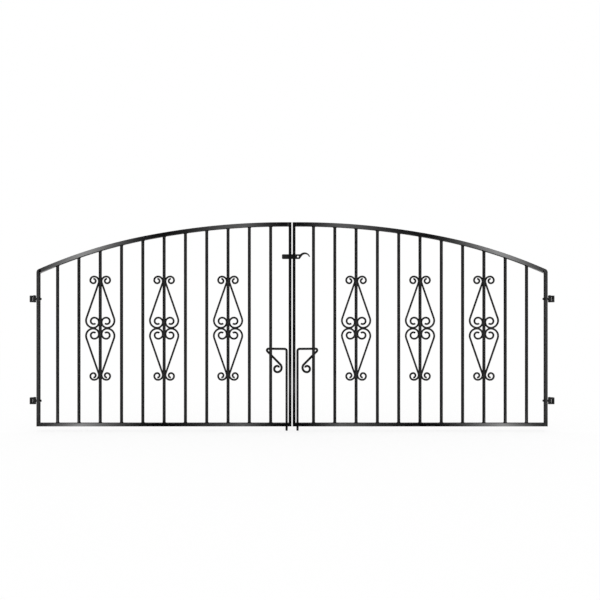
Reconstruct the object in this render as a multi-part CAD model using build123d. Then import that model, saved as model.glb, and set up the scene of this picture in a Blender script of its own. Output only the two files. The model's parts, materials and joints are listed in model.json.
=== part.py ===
from build123d import *
import os
from math import asin, cos, degrees, radians, sin, sqrt, tan

# A pair of bow-topped steel driveway gates between two posts, latched in the middle.
# Millimetres. X runs along the opening, Y away from the street, Z up. The origin is the
# middle of the post face of the left lower hinge bracket. The right leaf mirrors the left.

# The opening between the posts, and the two leaves in it
opening_width = 2743.0
gate_height = 1067.0
leaf_gap = 6.0

# Hinges: a clevis welded to its post, a pin, and an eye bolt through the stile
lower_hinge_height = 133.0
upper_hinge_below_bow = 150.8
pin_to_post = 21.5
pin_to_stile = 14.9
bracket_height = 35.0
bracket_width = 20.0
bracket_thickness = 8.0
bracket_corner_radius = 3.0
lug_thickness = 8.0
lug_radius = 8.0
pin_diameter = 10.0
pin_clearance = 0.25
seat_clearance = 0.3
eye_bolt_diameter = 12.0
eye_bolt_overhang = 8.9

# Frame of flat bar on edge. The bow is rolled to a flat crown and a rounder shoulder.
hinge_stile_face = 12.0
meeting_stile_face = 15.0
rail_face = 17.0
bow_face = 20.0
frame_depth = 25.0
stile_corner_radius = 18.0
stile_corner_wall_share = 0.95
bow_crown_radius = 3812.0
bow_shoulder_radius = 2640.0
bow_crown_turn = 11.3
bow_apex_inset = 31.3
weld_gap = 0.1
cut_overrun = 20.0

# Round infill bars
bar_diameter = 16.0
bar_count = 11
bar_end_inset = 94.3

# Scroll panels: four mirrored scrolls round a bar, drawn from where two of them meet
scroll_bar_numbers = (3, 6, 9)
scroll_size = 10.0
scroll_below_top = 553.9
scroll_meeting_reach = 36.4
scroll_meeting_lap = 2.1
scroll_lean = 19.15
scroll_straight_length = 195.3
scroll_shoulder_radius = 38.0
scroll_heart_radii = (29.3, 24.0, 18.7)
scroll_heart_end_radius = 15.1
scroll_heart_end_turn = 130.0
scroll_crook_radius = 25.4
scroll_crown_radii = (19.6, 15.9, 12.1, 11.4)
quarter_turn = 90.0

# Drop bolts: a rod bent on one plane, with an arm behind the last bar, a hook and a scroll
drop_rod_diameter = 12.0
drop_rod_from_middle = 28.6
drop_rod_clearance = 0.5
drop_tip_below_rail = 23.7
drop_tip_chamfer = 2.0
drop_arm_height = 404.6
drop_bend_radius = 11.0
drop_bar_clearance = 5.5
drop_arm_past_bar = 13.7
drop_hook_radius = 8.2
drop_hook_turn = 136.0
drop_slope_length = 97.4
drop_scroll_radii = (23.8, 16.3, 16.3, 8.6)
drop_scroll_turns = (136.0, 90.0, 90.0, 90.0)

# Latch: a lever on a stud behind the right meeting stile, its nose in a keep on the left one
latch_below_top = 177.0
lever_depth = 25.0
lever_thickness = 6.0
lever_nose_reach = 53.3
lever_nose_radius = 5.0
lever_shoulder_reach = 40.0
lever_hole_reach = 30.8
lever_hole_diameter = 9.0
tail_tip_reach = 95.0
tail_tip_drop = 1.0
tail_tip_width = 6.0
tail_root_reach = 43.0
tail_crown_reach = 70.0
tail_crown_rise = 22.0
tail_crown_width = 9.0
tail_throat_reach = 53.0
tail_throat_rise = 5.0
stud_diameter = 8.0
stud_shoulder_diameter = 16.0
stud_shoulder_length = 3.0
stud_head_length = 4.0
stud_clearance = 0.2
keep_width = 8.0
keep_thickness = 6.0
keep_play = 5.0
keep_lip_rise = 8.0

# Places that follow from the above
middle_x = opening_width / 2
rail_under_z = -lower_hinge_height
rail_top_z = rail_under_z + rail_face
stile_outer_x = pin_to_post + pin_to_stile
stile_inner_x = stile_outer_x + hinge_stile_face
meeting_outer_x = middle_x - leaf_gap / 2
meeting_inner_x = meeting_outer_x - meeting_stile_face
top_z = rail_under_z + gate_height
crown_centre_x = meeting_outer_x - bow_apex_inset
crown_centre_z = top_z - bow_crown_radius
centre_step = bow_crown_radius - bow_shoulder_radius
shoulder_centre_x = crown_centre_x - centre_step * sin(radians(bow_crown_turn))
shoulder_centre_z = crown_centre_z + centre_step * cos(radians(bow_crown_turn))
shoulder_run = shoulder_centre_x - stile_outer_x
stile_top_z = shoulder_centre_z + sqrt(bow_shoulder_radius**2 - shoulder_run**2)
stile_top_slope = asin(shoulder_run / bow_shoulder_radius)
first_bar_x = stile_inner_x + bar_end_inset
bar_pitch = (meeting_inner_x - bar_end_inset - first_bar_x) / (bar_count - 1)
bar_xs = [first_bar_x + number * bar_pitch for number in range(bar_count)]
bar_radius = bar_diameter / 2
drop_rod_x = middle_x - drop_rod_from_middle
drop_rod_radius = drop_rod_diameter / 2
drop_tip_z = rail_under_z - drop_tip_below_rail
drop_arm_z = rail_under_z + drop_arm_height
latch_z = top_z - latch_below_top
lever_front_y = frame_depth / 2 + stud_shoulder_length
lever_back_y = lever_front_y + lever_thickness
stud_x = middle_x + leaf_gap / 2 + meeting_stile_face / 2
gate_middle = Plane.YZ.offset(middle_x)
hinge_heights = {"lower": 0.0, "upper": stile_top_z - upper_hinge_below_bow}


def block(x0, x1, y0, y1, z0, z1):
    size = Box(x1 - x0, y1 - y0, z1 - z0, align=(Align.MIN, Align.MIN, Align.MIN))
    return Pos(x0, y0, z0) * size


def upright(radius, x, y, z0, z1):
    rod = Cylinder(radius, z1 - z0, align=(Align.CENTER, Align.CENTER, Align.MIN))
    return Pos(x, y, z0) * rod


def along_y(radius, x, y0, y1, z):
    rod = Cylinder(radius, y1 - y0, align=(Align.CENTER, Align.CENTER, Align.MIN))
    return Pos(x, y0, z) * Rot(X=-quarter_turn) * rod


def along_x(radius, x0, x1, y, z):
    rod = Cylinder(radius, x1 - x0, align=(Align.CENTER, Align.CENTER, Align.MIN))
    return Pos(x0, y, z) * Rot(Y=quarter_turn) * rod


def under_bow(inset):
    """All of a leaf's space below the bow's outer line, drawn in from that line by an inset."""
    end = degrees(asin((bow_apex_inset + cut_overrun) / bow_crown_radius))
    start = quarter_turn - end
    centre = (crown_centre_x, crown_centre_z)
    crown = CenterArc(centre, bow_crown_radius - inset, start, end + bow_crown_turn)
    end = degrees(asin((shoulder_run + cut_overrun) / bow_shoulder_radius))
    start = quarter_turn + bow_crown_turn
    centre = (shoulder_centre_x, shoulder_centre_z)
    shoulder = CenterArc(centre, bow_shoulder_radius - inset, start, end - bow_crown_turn)
    left = shoulder @ 1
    right = crown @ 0
    foot = [(left.X, rail_under_z), (right.X, rail_under_z)]
    face = make_face([crown, shoulder, Polyline(left, *foot, right)])
    return extrude(Plane.XZ * face, frame_depth / 2, both=True)


def save(name, *solids):
    shape = solids[0] if len(solids) == 1 else Compound(list(solids))
    export_step(shape, f"parts/{name}.step")


def hinge_stile():
    """A stile cut to the bow at its top and rounded off there, with a hole for each eye bolt."""
    half = frame_depth / 2
    over = top_z + cut_overrun
    stile = block(stile_outer_x, stile_inner_x, -half, half, rail_under_z, over)
    stile = stile & under_bow(0)
    corner = stile.edges().filter_by(Axis.Y).sort_by(Axis.Z)[-2]
    wall = stile_corner_wall_share * hinge_stile_face / cos(stile_top_slope)
    turn = radians(quarter_turn) - stile_top_slope
    stile = fillet(corner, min(stile_corner_radius, wall / tan(turn / 2)))
    hole = eye_bolt_diameter / 2 + weld_gap
    for z in hinge_heights.values():
        stile -= along_x(hole, stile_outer_x, stile_inner_x, 0, z)
    return stile


def meeting_stile():
    half = frame_depth / 2
    over = top_z + cut_overrun
    stile = block(meeting_inner_x, meeting_outer_x, -half, half, rail_under_z, over)
    return stile & under_bow(0)


def bottom_rail():
    """The rail between the stiles, with the hole that guides the drop bolt."""
    half = frame_depth / 2
    rail = block(stile_inner_x, meeting_inner_x, -half, half, rail_under_z, rail_top_z)
    hole = drop_rod_radius + drop_rod_clearance
    return rail - upright(hole, drop_rod_x, 0, rail_under_z, rail_top_z)


def bow_rail():
    """The rolled top rail, held between the stiles."""
    half = frame_depth / 2
    over = top_z + cut_overrun
    space = block(stile_inner_x, meeting_inner_x, -half, half, rail_top_z, over)
    return space & (under_bow(0) - under_bow(bow_face))


def infill_bar(x):
    """A round bar from the bottom rail up to the underside of the bow."""
    bar = upright(bar_radius, x, 0, rail_top_z, top_z)
    return bar & under_bow(bow_face + weld_gap)


def scroll_path():
    """One scroll's line on its own plane: bar axis at x = 0, mirror line at y = 0."""
    start = (scroll_meeting_reach, scroll_meeting_lap)
    rise = quarter_turn + scroll_lean
    shoulder = JernArc(start, (1, 0), scroll_shoulder_radius, rise)
    straight = PolarLine(shoulder @ 1, scroll_straight_length, rise)
    outward = [shoulder, straight, JernArc(straight @ 1, straight % 1, scroll_crook_radius, -rise)]
    for radius in scroll_crown_radii:
        last = outward[-1]
        outward.append(JernArc(last @ 1, last % 1, radius, -quarter_turn))
    inward = [JernArc(start, (-1, 0), scroll_heart_radii[0], -quarter_turn)]
    for radius in scroll_heart_radii[1:]:
        last = inward[-1]
        inward.append(JernArc(last @ 1, last % 1, radius, -quarter_turn))
    last = inward[-1]
    turn = -scroll_heart_end_turn
    inward.append(JernArc(last @ 1, last % 1, scroll_heart_end_radius, turn))
    return Wire(outward), Wire(inward)


def scroll():
    """One scroll of square bar on the XZ plane, swept both ways from the meeting point."""
    solid = None
    for path in scroll_path():
        end = Plane(origin=path @ 0, x_dir=(0, 0, 1), z_dir=path % 0)
        half = sweep(end * Rectangle(scroll_size, scroll_size), path=path)
        solid = half if solid is None else solid + half
    return Rot(X=quarter_turn) * solid


def scroll_panel(x):
    """Two pairs of scrolls, each pair joined where it meets and coped to the bar."""
    upper = scroll()
    pair = upper + mirror(upper, about=Plane.XY)
    cope = upright(bar_radius + weld_gap, 0, 0, -gate_height, gate_height)
    pair = pair - cope
    panel = [pair, mirror(pair, about=Plane.YZ)]
    return [Pos(x, 0, top_z - scroll_below_top) * side for side in panel]


def bracket(z):
    """A thick plate with two lugs round the pin."""
    half_width = bracket_width / 2
    low = z - bracket_height / 2
    high = z + bracket_height / 2
    plate = block(0, bracket_thickness, -half_width, half_width, low, high)
    corners = plate.edges().filter_by(Axis.X)
    plate = fillet(corners, bracket_corner_radius)
    for bottom in (low, high - lug_thickness):
        top = bottom + lug_thickness
        lug = block(0, pin_to_post, -lug_radius, lug_radius, bottom, top)
        lug += upright(lug_radius, pin_to_post, 0, bottom, top)
        plate += lug
    return plate - upright(pin_diameter / 2 + weld_gap, pin_to_post, 0, low, high)


def hinge_pin(z):
    half = bracket_height / 2
    return upright(pin_diameter / 2, pin_to_post, 0, z - half, z + half)


def eye_bolt(z):
    """An eye that rides between the lugs, on a shank through the stile."""
    half = bracket_height / 2 - lug_thickness - seat_clearance
    eye = upright(lug_radius, pin_to_post, 0, z - half, z + half)
    shank_end = stile_inner_x + eye_bolt_overhang
    eye += along_x(eye_bolt_diameter / 2, pin_to_post, shank_end, 0, z)
    return eye - upright(pin_diameter / 2 + pin_clearance, pin_to_post, 0, z - half, z + half)


def drop_bolt():
    """A rod bent on an upright plane that swings it behind the last bar."""
    reach = drop_rod_x - bar_xs[-1]
    aside = bar_radius + drop_rod_radius + drop_bar_clearance
    to_bar = sqrt(reach**2 - aside**2)
    plane = Plane((drop_rod_x, 0, 0), (-to_bar, aside, 0), (aside, to_bar, 0))
    rod = Line((0, drop_tip_z), (0, drop_arm_z - drop_bend_radius))
    bend = JernArc(rod @ 1, (0, 1), drop_bend_radius, -quarter_turn)
    arm = Line(bend @ 1, (to_bar + drop_arm_past_bar, drop_arm_z))
    hook = JernArc(arm @ 1, (1, 0), drop_hook_radius, -drop_hook_turn)
    path = [rod, bend, arm, hook, PolarLine(hook @ 1, drop_slope_length, -drop_hook_turn)]
    for radius, turn in zip(drop_scroll_radii, drop_scroll_turns):
        path.append(JernArc(path[-1] @ 1, path[-1] % 1, radius, turn))
    wire = plane * Wire(path)
    end = Plane(origin=wire @ 0, z_dir=wire % 0)
    bolt = sweep(end * Circle(drop_rod_radius), path=wire)
    tip = bolt.faces().sort_by(Axis.Z)[0].edges()
    return chamfer(tip, drop_tip_chamfer)


def lever():
    """A flat lever with a forged tail, on the XZ plane about its stud."""
    half = lever_depth / 2
    nose_x = middle_x - lever_nose_reach - stud_x
    shoulder_x = middle_x + lever_shoulder_reach - stud_x
    root_x = middle_x + tail_root_reach - stud_x
    crown_x = middle_x + tail_crown_reach - stud_x
    tip_x = middle_x + tail_tip_reach - stud_x
    throat_x = middle_x + tail_throat_reach - stud_x
    tip = (tip_x, -tail_tip_drop)
    tip_inner = (tip_x - tail_tip_width, -tail_tip_drop)
    under_crown = (crown_x, tail_crown_rise - tail_crown_width)
    edge = [
        Polyline((shoulder_x, -half), (nose_x, -half), (nose_x, half), (root_x, half)),
        ThreePointArc((root_x, half), (crown_x, tail_crown_rise), tip),
        Line(tip, tip_inner),
        ThreePointArc(tip_inner, under_crown, (throat_x, tail_throat_rise)),
        Line((throat_x, tail_throat_rise), (shoulder_x, -half)),
    ]
    face = make_face(edge)
    corners = face.vertices().group_by(Axis.X)[0]
    face = fillet(corners, lever_nose_radius)
    hole_x = middle_x + lever_hole_reach - stud_x
    face -= Pos(hole_x, 0) * Circle(lever_hole_diameter / 2)
    face -= Circle(stud_diameter / 2 + stud_clearance)
    blade = extrude(face, lever_thickness)
    return Pos(stud_x, lever_back_y, latch_z) * Rot(X=quarter_turn) * blade


def latch_stud():
    """A shouldered stud on the back of the right meeting stile, with a wide head."""
    shoulder = stud_shoulder_diameter / 2
    back = frame_depth / 2
    head_y = lever_back_y + seat_clearance
    stud = along_y(shoulder, stud_x, back, lever_front_y - seat_clearance, latch_z)
    stud += along_y(stud_diameter / 2, stud_x, back, head_y + stud_head_length, latch_z)
    return stud + along_y(shoulder, stud_x, head_y, head_y + stud_head_length, latch_z)


def latch_keep():
    """A hook behind the left meeting stile that the lever's nose drops into."""
    back = frame_depth / 2
    lip_y = lever_back_y + keep_play
    end_y = lip_y + keep_thickness
    seat_z = latch_z - lever_depth / 2 - seat_clearance
    right_x = meeting_inner_x + keep_width
    seat = block(meeting_inner_x, right_x, back, end_y, seat_z - keep_thickness, seat_z)
    lip_top = seat_z + keep_lip_rise
    return seat + block(meeting_inner_x, right_x, lip_y, end_y, seat_z, lip_top)


os.makedirs("parts", exist_ok=True)

leaf = {
    "hinge_stile": [hinge_stile()],
    "meeting_stile": [meeting_stile()],
    "bottom_rail": [bottom_rail()],
    "bow_rail": [bow_rail()],
    "eye_bolts": [eye_bolt(z) for z in hinge_heights.values()],
    "hinge_pins": [hinge_pin(z) for z in hinge_heights.values()],
    "drop_bolt": [drop_bolt()],
}
for number, x in enumerate(bar_xs, start=1):
    leaf[f"bar_{number:02d}"] = [infill_bar(x)]
for number, bar_number in enumerate(scroll_bar_numbers, start=1):
    leaf[f"scroll_panel_{number}"] = scroll_panel(bar_xs[bar_number - 1])
for level, z in hinge_heights.items():
    leaf[f"{level}_bracket"] = [bracket(z)]

for name, solids in leaf.items():
    save(f"left_{name}", *solids)
    save(f"right_{name}", *[mirror(solid, about=gate_middle) for solid in solids])

save("latch_lever", lever())
save("latch_stud", latch_stud())
save("latch_keep", latch_keep())
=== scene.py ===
import json
import math
import bmesh
import bpy
from mathutils import Matrix, Vector

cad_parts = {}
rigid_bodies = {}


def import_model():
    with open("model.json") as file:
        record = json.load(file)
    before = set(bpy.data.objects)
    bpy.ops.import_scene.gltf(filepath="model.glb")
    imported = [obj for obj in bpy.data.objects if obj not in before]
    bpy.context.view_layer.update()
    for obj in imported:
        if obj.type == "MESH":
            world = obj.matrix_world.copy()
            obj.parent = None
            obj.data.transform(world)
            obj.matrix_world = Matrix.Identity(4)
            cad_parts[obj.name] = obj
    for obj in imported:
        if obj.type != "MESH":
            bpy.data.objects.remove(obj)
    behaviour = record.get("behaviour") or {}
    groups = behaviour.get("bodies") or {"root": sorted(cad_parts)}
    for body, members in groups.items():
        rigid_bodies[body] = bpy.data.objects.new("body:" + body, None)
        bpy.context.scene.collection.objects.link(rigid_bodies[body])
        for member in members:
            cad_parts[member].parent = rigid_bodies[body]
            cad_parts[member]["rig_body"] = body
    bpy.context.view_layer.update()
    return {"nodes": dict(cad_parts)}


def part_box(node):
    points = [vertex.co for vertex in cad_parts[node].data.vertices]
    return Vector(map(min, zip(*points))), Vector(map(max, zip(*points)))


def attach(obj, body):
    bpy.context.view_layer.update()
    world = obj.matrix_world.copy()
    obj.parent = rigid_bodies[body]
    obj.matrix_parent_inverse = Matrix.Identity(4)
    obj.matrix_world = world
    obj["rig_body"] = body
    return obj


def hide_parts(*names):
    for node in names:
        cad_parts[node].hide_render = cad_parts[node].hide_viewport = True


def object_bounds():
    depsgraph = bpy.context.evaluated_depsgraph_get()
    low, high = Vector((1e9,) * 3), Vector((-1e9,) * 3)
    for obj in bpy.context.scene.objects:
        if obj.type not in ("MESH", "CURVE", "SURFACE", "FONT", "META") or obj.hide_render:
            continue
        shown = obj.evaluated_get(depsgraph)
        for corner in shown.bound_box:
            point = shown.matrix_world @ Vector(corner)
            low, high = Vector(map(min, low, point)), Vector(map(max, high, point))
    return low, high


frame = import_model()

# Leaf frames: each leaf has two stiles and a bottom rail of mild steel flat bar, 25 mm deep and
# set on edge. The lengths are sawn square, butt welded and ground flush, and the arrises keep
# the small radius that flat bar has from the rolling mill.
MM = 0.001
LEAVES = ("left", "right")
ARRIS = 0.6 * MM
COAT_BLACK = "#070708"
COAT_DUST = "#2a2925"
COAT_PATCH = 90 * MM
DUST_SPECKLE = 7 * MM
FLAT_FACE_WEIGHT = 60
MERGE_GAP = 0.004 * MM
SAME_PLANE = math.radians(0.4)
SHARP_CORNER = math.radians(40)


def linear(code):
    """An sRGB hex colour as the linear colour that a socket takes."""
    parts = [int(code[i:i + 2], 16) / 255 for i in (1, 3, 5)]
    return [c / 12.92 if c < 0.04045 else ((c + 0.055) / 1.055) ** 2.4 for c in parts] + [1]


def add(tree, kind, inputs=(), **settings):
    """One node with its settings; each input is a value or the socket that feeds it."""
    node = tree.nodes.new(kind)
    for name, value in settings.items():
        setattr(node, name, value)
    for name, value in dict(inputs).items():
        if isinstance(value, bpy.types.NodeSocket):
            tree.links.new(value, node.inputs[name])
        else:
            node.inputs[name].default_value = value
    return node


def powder_coat(name, gloss, smooth, dull, dimple, depth):
    """Black polyester powder coat baked on steel: it flows out to a satin skin with the faint
    dimples of orange peel, lies a little duller where it went on thin, and holds some dust on
    faces that look up. gloss is its specular level, smooth and dull bound its roughness, and
    dimple and depth are the size of the peel."""
    material = bpy.data.materials.new(name)
    material.use_nodes = True
    tree = material.node_tree
    shader = tree.nodes["Principled BSDF"]
    place = add(tree, "ShaderNodeTexCoord").outputs["Object"]
    thin = add(tree, "ShaderNodeTexNoise", {
        "Vector": place, "Scale": 1 / COAT_PATCH, "Detail": 4.0, "Roughness": 0.6})
    roughness = add(tree, "ShaderNodeMapRange", {
        "Value": thin.outputs["Fac"], "From Min": 0.3, "From Max": 0.7,
        "To Min": smooth, "To Max": dull})
    facing = add(tree, "ShaderNodeSeparateXYZ", {
        "Vector": add(tree, "ShaderNodeNewGeometry").outputs["Normal"]})
    level = add(tree, "ShaderNodeMapRange", {
        "Value": facing.outputs["Z"], "From Min": 0.55, "From Max": 1.0, "To Max": 0.35})
    speckle = add(tree, "ShaderNodeTexNoise", {
        "Vector": place, "Scale": 1 / DUST_SPECKLE, "Detail": 6.0, "Roughness": 0.7})
    dusty = add(tree, "ShaderNodeMath", {0: level.outputs[0], 1: speckle.outputs["Fac"]},
                operation="MULTIPLY")
    colour = add(tree, "ShaderNodeMix", {
        "Factor": dusty.outputs[0], 6: linear(COAT_BLACK), 7: linear(COAT_DUST)},
        data_type="RGBA")
    peel = add(tree, "ShaderNodeTexNoise", {
        "Vector": place, "Scale": 1 / dimple, "Detail": 2.0, "Roughness": 0.45})
    bump = add(tree, "ShaderNodeBump", {
        "Height": peel.outputs["Fac"], "Strength": 1.0, "Distance": depth})
    tree.links.new(colour.outputs[2], shader.inputs["Base Color"])
    tree.links.new(roughness.outputs[0], shader.inputs["Roughness"])
    tree.links.new(bump.outputs["Normal"], shader.inputs["Normal"])
    shader.inputs["IOR"].default_value = 1.5
    shader.inputs["Specular IOR Level"].default_value = gloss
    return material


def piece(name, mesh_in_making, body, slot, material, *nodes):
    """A finished piece: smooth shaded, coated, riding on its body and standing for its nodes."""
    mesh = bpy.data.meshes.new(name)
    for face in mesh_in_making.faces:
        face.smooth = True
    mesh_in_making.to_mesh(mesh)
    mesh_in_making.free()
    mesh.materials.append(material)
    made = bpy.data.objects.new(name, mesh)
    bpy.context.scene.collection.objects.link(made)
    made.modifiers.new("even_shading", "WEIGHTED_NORMAL").weight = FLAT_FACE_WEIGHT
    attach(made, body)
    if nodes:
        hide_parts(*nodes)
    return made


def eased(node, slot, material, radius):
    """A CAD node once more as one skin, with its arrises rounded to the radius."""
    skin = bmesh.new()
    skin.from_mesh(frame["nodes"][node].data)
    bmesh.ops.remove_doubles(skin, verts=skin.verts, dist=MERGE_GAP)
    bmesh.ops.dissolve_limit(skin, angle_limit=SAME_PLANE, verts=skin.verts,
                             edges=skin.edges, use_dissolve_boundaries=False)
    arrises = [edge for edge in skin.edges
               if edge.is_manifold and edge.calc_face_angle() > SHARP_CORNER]
    bmesh.ops.bevel(skin, geom=arrises, offset=radius, offset_type="OFFSET", affect="EDGES",
                    segments=3, profile=0.5, material=-1, clamp_overlap=True)
    body = frame["nodes"][node]["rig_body"]
    return piece(node + "_coated", skin, body, slot, material, node)


frame_coat = powder_coat("powder_coat_on_flat_bar", gloss=0.5, smooth=0.1, dull=0.15,
                         dimple=2.2 * MM, depth=0.006 * MM)
for leaf in LEAVES:
    for part in ("hinge_stile", "meeting_stile", "bottom_rail"):
        eased(f"{leaf}_{part}", "frame_black", frame_coat, ARRIS)

# Bow rails: a 25 by 20 mm flat rolled the hard way to a flat crown and a rounder shoulder, cut
# to fit between the stiles and welded to them, so each leaf rises to the meeting side.
BOW_FACE = 20 * MM
BOW_DEPTH = 25 * MM
CROWN_RADIUS = 3812 * MM
CROWN_INSET = 31.3 * MM
CROWN_TURN = math.radians(11.3)
SHOULDER_RADIUS = 2640 * MM
SAW_ALLOWANCE = 20 * MM
SAW_GAP = 0.001 * MM
ROLLING_STEPS = 60
bow_centres = {}
for leaf in LEAVES:
    side = 1 if leaf == "left" else -1
    low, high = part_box(f"{leaf}_bow_rail")
    stile_low, stile_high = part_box(f"{leaf}_meeting_stile")
    apex_x = (stile_high.x if side > 0 else stile_low.x) - side * CROWN_INSET
    crown = Vector((apex_x, 0, high.z - CROWN_RADIUS))
    step = CROWN_RADIUS - SHOULDER_RADIUS
    shoulder = crown + Vector((-side * math.sin(CROWN_TURN), 0, math.cos(CROWN_TURN))) * step
    bow_centres[leaf] = (crown, shoulder)
    bow = bmesh.new()
    bmesh.ops.create_grid(bow, x_segments=1, y_segments=1, size=0.5)
    bmesh.ops.bevel(bow, geom=bow.verts, offset=ARRIS / BOW_FACE, affect="VERTICES",
                    segments=3, profile=0.5, material=-1)
    bmesh.ops.delete(bow, geom=bow.faces, context="FACES_ONLY")
    on_end = Matrix.Translation(crown + Vector((0, 0, CROWN_RADIUS - BOW_FACE / 2)))
    on_end = on_end @ Matrix.Rotation(math.radians(90), 4, "Y")
    on_end = on_end @ Matrix.Diagonal((BOW_FACE, BOW_DEPTH, 1, 1))
    bmesh.ops.transform(bow, matrix=on_end, verts=bow.verts)
    past_apex = (CROWN_INSET + SAW_ALLOWANCE) / CROWN_RADIUS
    start = Matrix.Rotation(side * past_apex, 3, "Y")
    bmesh.ops.rotate(bow, verts=bow.verts, cent=crown, matrix=start)
    stile_x = low.x if side > 0 else high.x
    shoulder_run = abs(shoulder.x - stile_x) + SAW_ALLOWANCE
    shoulder_turn = math.asin(shoulder_run / SHOULDER_RADIUS) - CROWN_TURN
    rolled = bow.edges[:]
    for centre, turn in ((crown, past_apex + CROWN_TURN), (shoulder, shoulder_turn)):
        rolled = bmesh.ops.spin(bow, geom=rolled, cent=centre, axis=(0, -side, 0), angle=turn,
                                steps=ROLLING_STEPS)["geom_last"]
    for end, facing in ((low.x, -1), (high.x, 1)):
        trimmed = bmesh.ops.bisect_plane(
            bow, geom=bow.verts[:] + bow.edges[:] + bow.faces[:], dist=SAW_GAP,
            plane_co=(end, 0, 0), plane_no=(facing, 0, 0), clear_outer=True)
        rim = [edge for edge in trimmed["geom_cut"] if isinstance(edge, bmesh.types.BMEdge)]
        bmesh.ops.edgeloop_fill(bow, edges=rim)
    bmesh.ops.recalc_face_normals(bow, faces=bow.faces)
    piece(f"{leaf}_bow_rail_coated", bow, f"{leaf}_leaf", "frame_black", frame_coat,
          f"{leaf}_bow_rail")

# Infill bars: eleven 16 mm round bars a leaf, sawn to length and coped to the bow's slope.
# Each is fillet welded all round at both ends, and the coat runs over the weld.
BAR_RADIUS = 8 * MM
BAR_ARRIS = 0.3 * MM
BAR_COUNT = 11
WELD_LEG = 3.4 * MM
BEAD_PROFILE = [(-0.1, 0), (-0.1, 1.0), (0.12, 1.02), (0.5, 0.78), (0.82, 0.42), (1.0, 0)]
BEAD_STEPS = 36
RIPPLES, RIPPLE_HEIGHT = 18, 0.035
LUMPS, LUMP_HEIGHT, LUMP_START = 3, 0.05, 0.7
RIPPLE_SPREAD = 0.5
bar_coat = powder_coat("powder_coat_on_round_bar", gloss=0.24, smooth=0.2, dull=0.28,
                       dimple=2.2 * MM, depth=0.006 * MM)
weld_coat = powder_coat("powder_coat_over_weld", gloss=0.24, smooth=0.28, dull=0.4,
                        dimple=1.6 * MM, depth=0.08 * MM)


def weld_bead(radius, leg):
    """One fillet weld round a bar of that radius, standing on the plane of the joint. Its
    profile is in shares of the leg, and the puddles of the torch ripple it."""
    bead = bmesh.new()
    spots = [bead.verts.new((radius + out * leg, 0, up * leg)) for out, up in BEAD_PROFILE]
    outline = [bead.edges.new(pair) for pair in zip(spots, spots[1:])]
    bmesh.ops.spin(bead, geom=spots + outline, cent=(0, 0, 0), axis=(0, 0, 1),
                   angle=math.tau, steps=BEAD_STEPS, use_merge=True)
    for spot in bead.verts:
        turn = math.atan2(spot.co.y, spot.co.x)
        ripple = 1 + RIPPLE_HEIGHT * math.sin(RIPPLES * turn) + LUMP_HEIGHT * math.sin(
            LUMPS * turn + LUMP_START)
        spot.co.x *= 1 + (ripple - 1) * RIPPLE_SPREAD
        spot.co.y *= 1 + (ripple - 1) * RIPPLE_SPREAD
        spot.co.z *= ripple
    bmesh.ops.recalc_face_normals(bead, faces=bead.faces)
    mesh = bpy.data.meshes.new("weld_bead")
    bead.to_mesh(mesh)
    bead.free()
    return mesh


def set_down(mesh_in_making, mesh, place):
    """Adds a copy of a mesh to one that is being made, put in its place."""
    before = len(mesh_in_making.verts)
    mesh_in_making.from_mesh(mesh)
    mesh_in_making.verts.ensure_lookup_table()
    bmesh.ops.transform(mesh_in_making, matrix=place, verts=mesh_in_making.verts[before:])


bar_bead = weld_bead(BAR_RADIUS, WELD_LEG)
for leaf in LEAVES:
    welds = bmesh.new()
    crown, shoulder = bow_centres[leaf]
    for number in range(1, BAR_COUNT + 1):
        node = f"{leaf}_bar_{number:02d}"
        eased(node, "infill_black", bar_coat, BAR_ARRIS)
        low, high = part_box(node)
        bar_x = (low.x + high.x) / 2
        set_down(welds, bar_bead, Matrix.Translation((bar_x, 0, low.z)))
        centre, radius = crown, CROWN_RADIUS - BOW_FACE
        if abs(bar_x - crown.x) > radius * math.sin(CROWN_TURN):
            centre, radius = shoulder, SHOULDER_RADIUS - BOW_FACE
        run = bar_x - centre.x
        rise = math.sqrt(radius ** 2 - run ** 2)
        lean = Matrix.Identity(4)
        lean[2][0] = -run / rise
        under_bow = Matrix.Translation((bar_x, 0, centre.z + rise))
        set_down(welds, bar_bead, under_bow @ lean @ Matrix.Diagonal((1, 1, -1, 1)))
    bmesh.ops.recalc_face_normals(welds, faces=welds.faces)
    piece(f"{leaf}_bar_welds", welds, f"{leaf}_leaf", "infill_black", weld_coat)

# Scroll panels: four scrolls of 10 mm round rod about a bar, each bent cold round a jig into
# a small heart at the middle and a crown at the end, then tacked to its neighbour and the bar.
# A bend is its radius in mm and its turn in degrees, and a straight is its length and no turn.
ROD_RADIUS = 5 * MM
ROD_SIDES = 20
ROD_END_ROUND = 1.2 * MM
BEND_STEP = 6
LEAST_STEPS = 6
RING_SLACK = 1.01
MEETING = Vector((36.4, 0, 2.1)) * MM
LEAN = 19.15
STRAIGHT = 195.3
OUTWARD = [(38.0, 90 + LEAN), (STRAIGHT, 0), (25.4, -90 - LEAN),
           (19.6, -90), (15.9, -90), (12.1, -90), (11.4, -90)]
INWARD = [(29.3, -90), (24.0, -90), (18.7, -90), (15.1, -130)]
scroll_coat = powder_coat("powder_coat_on_bent_rod", gloss=0.24, smooth=0.24, dull=0.34,
                          dimple=3.0 * MM, depth=0.03 * MM)


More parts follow.
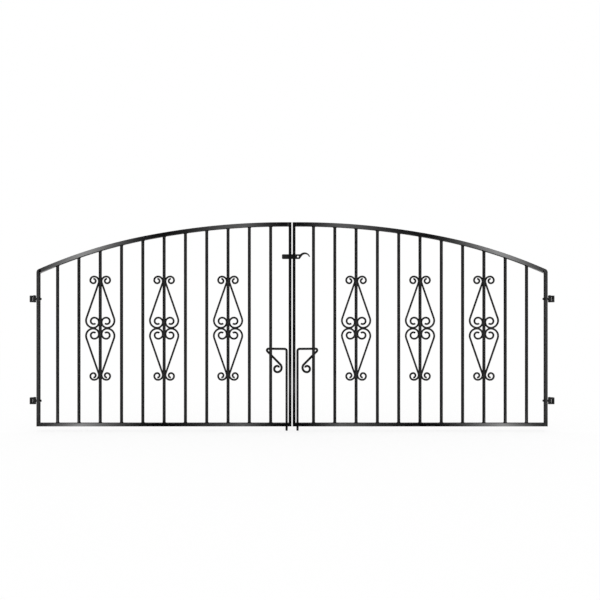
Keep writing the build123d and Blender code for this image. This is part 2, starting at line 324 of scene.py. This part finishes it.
def bent_rod(rod, ring, radius, place, heading, bends):
    """Draws a rod on from a ring of edges through its bends and straights, with turns to the
    left as seen from the street positive, and closes its end."""
    for size, turn in bends:
        if turn:
            across = Vector((-heading.z, 0, heading.x)) * math.copysign(1, turn)
            centre = place + across * size * MM
            axis = (0, -math.copysign(1, turn), 0)
            angle = math.radians(abs(turn))
            steps = max(LEAST_STEPS, round(abs(turn) / BEND_STEP))
            drawn = bmesh.ops.spin(rod, geom=ring, cent=centre, axis=axis, angle=angle,
                                   steps=steps)["geom_last"]
            swing = Matrix.Rotation(angle, 3, Vector(axis))
            place = centre + swing @ (place - centre)
            heading = swing @ heading
        else:
            drawn = bmesh.ops.extrude_edge_only(rod, edges=ring)["geom"]
            ends = [part for part in drawn if isinstance(part, bmesh.types.BMVert)]
            bmesh.ops.translate(rod, verts=ends, vec=heading * size * MM)
            place = place + heading * size * MM
        ring = [part for part in drawn if isinstance(part, bmesh.types.BMEdge)
                and all((v.co - place).length < radius * RING_SLACK for v in part.verts)]
    cap = bmesh.ops.edgeloop_fill(rod, edges=ring)["faces"]
    bmesh.ops.bevel(rod, geom=list(cap[0].edges), offset=ROD_END_ROUND, affect="EDGES",
                    segments=3, profile=0.5, material=-1)


scroll = bmesh.new()
section = Matrix.Translation(MEETING) @ Matrix.Rotation(math.radians(90), 4, "Y")
bmesh.ops.create_circle(scroll, segments=ROD_SIDES, radius=ROD_RADIUS, matrix=section)
start_ring = scroll.edges[:]
bent_rod(scroll, start_ring, ROD_RADIUS, MEETING, Vector((1, 0, 0)), OUTWARD)
bent_rod(scroll, start_ring, ROD_RADIUS, MEETING, Vector((-1, 0, 0)), INWARD)
for axis in ("Z", "X"):
    bmesh.ops.mirror(scroll, geom=scroll.verts[:] + scroll.edges[:] + scroll.faces[:],
                     matrix=Matrix.Identity(4), merge_dist=0, axis=axis)
bmesh.ops.recalc_face_normals(scroll, faces=scroll.faces)
scroll_mesh = bpy.data.meshes.new("scroll_panel")
scroll.to_mesh(scroll_mesh)
scroll.free()

# Tacks: the place of each from the panel's middle, and its half sizes, in mm.
TACKS = [((6.3, 4.4, 31.4), (2.6, 2.2, 8.0)), ((6.2, 4.4, 245.4), (2.6, 2.2, 8.0)),
         ((36.4, 3.4, 0), (8.0, 2.3, 2.6))]
for leaf in LEAVES:
    tacks = bmesh.new()
    for number in (1, 2, 3):
        node = f"{leaf}_scroll_panel_{number}"
        low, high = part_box(node)
        middle = Matrix.Translation((low + high) / 2)
        panel = bmesh.new()
        set_down(panel, scroll_mesh, middle)
        piece(f"{node}_coated", panel, f"{leaf}_leaf", "scroll_black", scroll_coat, node)
        for (x, y, z), size in TACKS:
            for across in (-1, 1):
                for through in (-1, 1):
                    for up in (-1, 1) if z else (1,):
                        spot = Vector((x * across, y * through, z * up)) * MM
                        shape = Matrix.Diagonal((*[s * MM for s in size], 1))
                        bmesh.ops.create_icosphere(
                            tacks, subdivisions=3, radius=1,
                            matrix=middle @ Matrix.Translation(spot) @ shape)
    piece(f"{leaf}_scroll_welds", tacks, f"{leaf}_leaf", "scroll_black", weld_coat)

# Hinges: a clevis of thick plate is welded to each post, a pin with a domed head drops through
# its lugs, and an eye bolt turns on the pin. The bolt's shank is welded in the stile.
BRACKET_ARRIS = 1.0 * MM
PIN_ARRIS = 0.3 * MM
PIN_HEAD = [(0, 2.4), (2.0, 2.3), (4.2, 1.9), (6.0, 1.2), (6.8, 0.5), (6.8, 0), (0, 0)]
PEENED_END = (0.8, 0.8, -0.5, 1)
EYE_ARRIS = 1.2 * MM
SHANK_RADIUS = 6 * MM
SHANK_WELD_LEG = 2.4 * MM
TURNED_STEPS = 40
TURNED_MERGE = 0.002 * MM
hardware_coat = powder_coat("powder_coat_on_fittings", gloss=0.24, smooth=0.28, dull=0.38,
                            dimple=2.0 * MM, depth=0.02 * MM)


def turned(outline, name):
    """A turned or headed shape about Z, from its outline of radii and heights in mm."""
    shape = bmesh.new()
    spots = [shape.verts.new((radius * MM, 0, height * MM)) for radius, height in outline]
    line = [shape.edges.new(pair) for pair in zip(spots, spots[1:])]
    bmesh.ops.spin(shape, geom=spots + line, cent=(0, 0, 0), axis=(0, 0, 1),
                   angle=math.tau, steps=TURNED_STEPS, use_merge=True)
    bmesh.ops.remove_doubles(shape, verts=shape.verts, dist=TURNED_MERGE)
    bmesh.ops.recalc_face_normals(shape, faces=shape.faces)
    mesh = bpy.data.meshes.new(name)
    shape.to_mesh(mesh)
    shape.free()
    return mesh


pin_head = turned(PIN_HEAD, "pin_head")
shank_bead = weld_bead(SHANK_RADIUS, SHANK_WELD_LEG)
for leaf in LEAVES:
    side = 1 if leaf == "left" else -1
    heads = bmesh.new()
    welds = bmesh.new()
    inward = Matrix.Rotation(side * math.radians(90), 4, "Y")
    stile_low, stile_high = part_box(f"{leaf}_hinge_stile")
    inner_x = stile_high.x if side > 0 else stile_low.x
    for level in ("lower", "upper"):
        node = f"{leaf}_{level}_bracket"
        eased(node, "hardware_black", hardware_coat, BRACKET_ARRIS)
        low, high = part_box(node)
        middle_z = (low.z + high.z) / 2
        pin_low, pin_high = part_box(f"{leaf}_hinge_pins")
        pin_x = (pin_low.x + pin_high.x) / 2
        set_down(heads, pin_head, Matrix.Translation((pin_x, 0, high.z)))
        under = Matrix.Translation((pin_x, 0, low.z)) @ Matrix.Diagonal(PEENED_END)
        set_down(heads, pin_head, under)
        spot = Vector((inner_x, 0, middle_z))
        set_down(welds, shank_bead, Matrix.Translation(spot) @ inward)
    bmesh.ops.recalc_face_normals(heads, faces=heads.faces)
    eased(f"{leaf}_hinge_pins", "hardware_black", hardware_coat, PIN_ARRIS)
    eased(f"{leaf}_eye_bolts", "hardware_black", hardware_coat, EYE_ARRIS)
    piece(f"{leaf}_pin_heads", heads, "post_hinges", "hardware_black", hardware_coat)
    piece(f"{leaf}_eye_bolt_welds", welds, f"{leaf}_leaf", "hardware_black", weld_coat)

# Drop bolts: a 12 mm rod that slides in a hole of the bottom rail. Its top is bent over to an
# arm that passes behind the last bar, turns back in a hook and ends in a scrolled handle.
BOLT_RADIUS = 6 * MM
BOLT_SIDES = 28
BOLT_TIP_ROUND = 2 * MM
BOLT_BEHIND_BAR = 19.5 * MM
BOLT_BEND = 11.0
ARM_PAST_BAR = 17.3
HANDLE = [(8.2, 136), (97.4, 0), (23.8, -136), (16.3, -90), (16.3, -90), (8.6, -90)]
for leaf in LEAVES:
    side = 1 if leaf == "left" else -1
    node = f"{leaf}_drop_bolt"
    low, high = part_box(node)
    rod_x = high.x - BOLT_RADIUS if side > 0 else low.x + BOLT_RADIUS
    bar_low, bar_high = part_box(f"{leaf}_bar_{BAR_COUNT}")
    reach = abs(rod_x - (bar_low.x + bar_high.x) / 2)
    to_bar = math.sqrt(reach ** 2 - BOLT_BEHIND_BAR ** 2)
    shank = (high.z - BOLT_RADIUS - low.z) / MM - BOLT_BEND
    arm = to_bar / MM + ARM_PAST_BAR - BOLT_BEND
    bolt = bmesh.new()
    foot = Vector((0, 0, low.z))
    bmesh.ops.create_circle(bolt, segments=BOLT_SIDES, radius=BOLT_RADIUS,
                            matrix=Matrix.Translation(foot))
    start_ring = bolt.edges[:]
    bent_rod(bolt, start_ring, BOLT_RADIUS, foot, Vector((0, 0, 1)),
             [(shank, 0), (BOLT_BEND, 90), (arm, 0)] + HANDLE)
    tip = bmesh.ops.edgeloop_fill(bolt, edges=start_ring)["faces"]
    bmesh.ops.bevel(bolt, geom=list(tip[0].edges), offset=BOLT_TIP_ROUND, affect="EDGES",
                    segments=2, profile=0.5, material=-1)
    swing = Matrix.Rotation(-math.atan2(BOLT_BEHIND_BAR, to_bar), 4, "Z")
    hand = Matrix.Diagonal((side, 1, 1, 1))
    bmesh.ops.transform(bolt, matrix=Matrix.Translation((rod_x, 0, 0)) @ hand @ swing,
                        verts=bolt.verts)
    bmesh.ops.recalc_face_normals(bolt, faces=bolt.faces)
    piece(f"{node}_coated", bolt, f"{leaf}_bolt", "hardware_black", hardware_coat, node)

# Latch: a flat lever with a forged tail pivots on a headed stud behind the right meeting
# stile, and its nose drops into a hooked keep welded behind the left one.
LATCH_ARRIS = 0.6 * MM
for node in ("latch_lever", "latch_stud", "latch_keep"):
    eased(node, "hardware_black", hardware_coat, LATCH_ARRIS)

# Stage: a white floor just below the drop bolts, white surroundings, and a camera straight
# in front of the meeting stiles at the distance where the bars' far sides show as they should.
gate_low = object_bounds()[0]
MIDDLE_X = 1371.5 * MM
CAMERA_AWAY = 3.3
CAMERA_UP = 404 * MM
PICTURE_SIZE = 600
PICTURE_MIDDLE = 292.07
PICTURE_LEVEL = 323.63
MM_TO_A_PIXEL = 5.2416
VIEW_WIDTH = PICTURE_SIZE * MM_TO_A_PIXEL * MM
SENSOR_WIDTH = 36
FLOOR_BELOW = 1.5 * MM
FLOOR_REACH = 30
PAPER_GLOW = 0.8

floor = bmesh.new()
bmesh.ops.create_grid(floor, x_segments=1, y_segments=1, size=FLOOR_REACH,
                      matrix=Matrix.Translation((MIDDLE_X, 0, gate_low[2] - FLOOR_BELOW)))
floor_mesh = bpy.data.meshes.new("floor")
floor.to_mesh(floor_mesh)
floor.free()
floor_object = bpy.data.objects.new("floor", floor_mesh)
bpy.context.scene.collection.objects.link(floor_object)

# Matt white paper: it shows as plain white and keeps the soft shadow of the gate.
paper = bpy.data.materials.new("white_paper_floor")
paper.use_nodes = True
tree = paper.node_tree
tree.nodes.remove(tree.nodes["Principled BSDF"])
lit = add(tree, "ShaderNodeBsdfDiffuse", {"Color": linear("#ffffff")})
glow = add(tree, "ShaderNodeEmission", {"Color": linear("#ffffff"), "Strength": 1.0})
seen = add(tree, "ShaderNodeLightPath")
direct = add(tree, "ShaderNodeMath", {
    0: seen.outputs["Is Camera Ray"], 1: seen.outputs["Is Glossy Ray"]}, operation="MAXIMUM")
direct = add(tree, "ShaderNodeMath", {
    0: direct.outputs[0], 1: seen.outputs["Is Transmission Ray"]}, operation="MAXIMUM")
share = add(tree, "ShaderNodeMath", {0: direct.outputs[0], 1: PAPER_GLOW},
            operation="MULTIPLY")
blend = add(tree, "ShaderNodeMixShader", {
    0: share.outputs[0], 1: lit.outputs[0], 2: glow.outputs[0]})
tree.links.new(blend.outputs[0], tree.nodes["Material Output"].inputs["Surface"])
floor_mesh.materials.append(paper)

world = bpy.data.worlds.new("white_studio")
world.use_nodes = True
bpy.context.scene.world = world
world.node_tree.nodes["Background"].inputs["Color"].default_value = linear("#ffffff")
world.node_tree.nodes["Background"].inputs["Strength"].default_value = 1.0
world.cycles.sampling_method = "NONE"

# Painted reflection: black and grey sheets that show only in the gate's own gloss and darken what
# its coat reflects: drapes hang before it, behind it and on its left, one runner lies in front of
# its meeting stiles and one behind both leaves.
REFLECTED_BLACK = "#0a0a0a"
REFLECTED_GREY = "#707070"
DRAPE_WIDTH = 16.0
DRAPE_HEIGHT = 6.0
DRAPE_PAST_CAMERA = 0.4
DRAPE_FRONT = -CAMERA_AWAY - DRAPE_PAST_CAMERA
DRAPE_BACK = 2.6
RUNNER_WIDTH = 0.26
RUNNER_LENGTH = 1.8
REAR_WIDTH = 3.4
SHEET_START = 0.05


def hung_or_laid(name, material, spot, turn, width, length):
    """A flat sheet of the stage about the gate's middle, seen by glossy rays alone."""
    sheet = bmesh.new()
    place = Matrix.Translation(Vector(spot) + Vector((MIDDLE_X, 0, 0))) @ turn
    bmesh.ops.create_grid(sheet, x_segments=1, y_segments=1, size=0.5,
                          matrix=place @ Matrix.Diagonal((width, length, 1, 1)))
    mesh = bpy.data.meshes.new(name)
    sheet.to_mesh(mesh)
    sheet.free()
    mesh.materials.append(material)
    made = bpy.data.objects.new(name, mesh)
    bpy.context.scene.collection.objects.link(made)
    made.visible_camera = False
    made.visible_diffuse = False
    made.visible_transmission = False
    made.visible_shadow = False


on_edge = Matrix.Rotation(math.radians(90), 4, "X")
sideways = Matrix.Rotation(math.radians(90), 4, "Z")
flat = Matrix.Identity(4)
hang_z = gate_low[2] + DRAPE_HEIGHT / 2
runner_z = gate_low[2] - FLOOR_BELOW / 2
depth = DRAPE_BACK - DRAPE_FRONT
reflection_sheets = [("front_drape", REFLECTED_BLACK, (0, DRAPE_FRONT, hang_z), on_edge,
          DRAPE_WIDTH, DRAPE_HEIGHT),
         ("back_drape", REFLECTED_GREY, (0, DRAPE_BACK, hang_z), on_edge,
          DRAPE_WIDTH, DRAPE_HEIGHT),
         ("left_drape", REFLECTED_BLACK, (-DRAPE_WIDTH / 2, DRAPE_BACK - depth / 2, hang_z),
          sideways @ on_edge, depth, DRAPE_HEIGHT),
         ("front_runner", REFLECTED_BLACK, (0, -SHEET_START - RUNNER_LENGTH / 2, runner_z), flat,
          RUNNER_WIDTH, RUNNER_LENGTH),
         ("rear_runner", REFLECTED_GREY, (0, SHEET_START + DRAPE_BACK / 2, runner_z), flat,
          REAR_WIDTH, DRAPE_BACK)]
for name, colour, spot, turn, width, length in reflection_sheets:
    reflection_material = bpy.data.materials.new(f"painted_reflection_of_{name}")
    reflection_material.use_nodes = True
    reflection_shader = reflection_material.node_tree.nodes["Principled BSDF"]
    # Each sheet's colour is a painted reflection: only the gate's gloss sees it.
    reflection_shader.inputs["Base Color"].default_value = linear(colour)
    reflection_shader.inputs["Roughness"].default_value = 1.0
    reflection_shader.inputs["Specular IOR Level"].default_value = 0.0
    hung_or_laid(name, reflection_material, spot, turn, width, length)

# Graduated light cards, bright before the hinge side of each leaf and black before its middle:
# one lies below the bottom rails and a wider one stands by the camera. They are glowing sheets
# that show only in the gate's gloss, as painted highlights. A card is its width, length and
# brightness, and a grade is a share of its half width and how bright it looks there.
FLOOR_CARD = (3.0, 0.45, 6.4)
STANDING_CARD = (5.64, 2.3, 8.6)
CARD_FADE = 2.2
CARD_GRADES = [(0.03, 0.02), (0.18, 0.63), (0.505, 0), (0.78, 1), (0.922, 0.34)]


def light_card(name, width, strength):
    """A glowing sheet, seen only in the gate's gloss as a painted highlight, whose brightness
    follows the grades from its middle to its ends.
    """
    material = bpy.data.materials.new(name)
    material.use_nodes = True
    tree = material.node_tree
    tree.nodes.remove(tree.nodes["Principled BSDF"])
    across = add(tree, "ShaderNodeSeparateXYZ", {
        "Vector": add(tree, "ShaderNodeTexCoord").outputs["Object"]})
    aside = add(tree, "ShaderNodeMath", {0: across.outputs["X"], 1: MIDDLE_X},
                operation="SUBTRACT")
    aside = add(tree, "ShaderNodeMath", {0: aside.outputs[0]}, operation="ABSOLUTE")
    aside = add(tree, "ShaderNodeMath", {0: aside.outputs[0], 1: width / 2}, operation="DIVIDE")
    grade = add(tree, "ShaderNodeValToRGB", {"Fac": aside.outputs[0]})
    stops = grade.color_ramp.elements
    stops.remove(stops[1])
    for number, (spot, level) in enumerate(CARD_GRADES):
        stop = stops.new(spot) if number else stops[0]
        stop.position = spot
        stop.color = (level, level, level, 1)
    fade = add(tree, "ShaderNodeMath", {0: grade.outputs["Color"], 1: CARD_FADE},
               operation="POWER")
    bright = add(tree, "ShaderNodeMath", {0: fade.outputs[0], 1: strength}, operation="MULTIPLY")
    shine = add(tree, "ShaderNodeEmission", {"Strength": bright.outputs[0]})
    tree.links.new(shine.outputs[0], tree.nodes["Material Output"].inputs["Surface"])
    return material


width, length, strength = FLOOR_CARD
card_z = gate_low[2] - FLOOR_BELOW / 4
hung_or_laid("floor_card", light_card("floor_light_card", width, strength),
             (0, -SHEET_START - length / 2, card_z), flat, width, length)
width, length, strength = STANDING_CARD
hung_or_laid("standing_card", light_card("standing_light_card", width, strength),
             (0, -CAMERA_AWAY, gate_low[2] + length / 2), on_edge, width, length)

lens = bpy.data.cameras.new("photo_camera")
lens.sensor_width = SENSOR_WIDTH
lens.lens = CAMERA_AWAY * lens.sensor_width / VIEW_WIDTH
lens.shift_x = (PICTURE_SIZE / 2 - PICTURE_MIDDLE) / PICTURE_SIZE
lens.shift_y = (PICTURE_LEVEL - PICTURE_SIZE / 2) / PICTURE_SIZE
camera = bpy.data.objects.new("photo_camera", lens)
camera.location = (MIDDLE_X, -CAMERA_AWAY, CAMERA_UP)
camera.rotation_euler = (math.radians(90), 0, 0)
bpy.context.scene.collection.objects.link(camera)
bpy.context.scene.camera = camera
bpy.context.scene.view_settings.view_transform = "Standard"
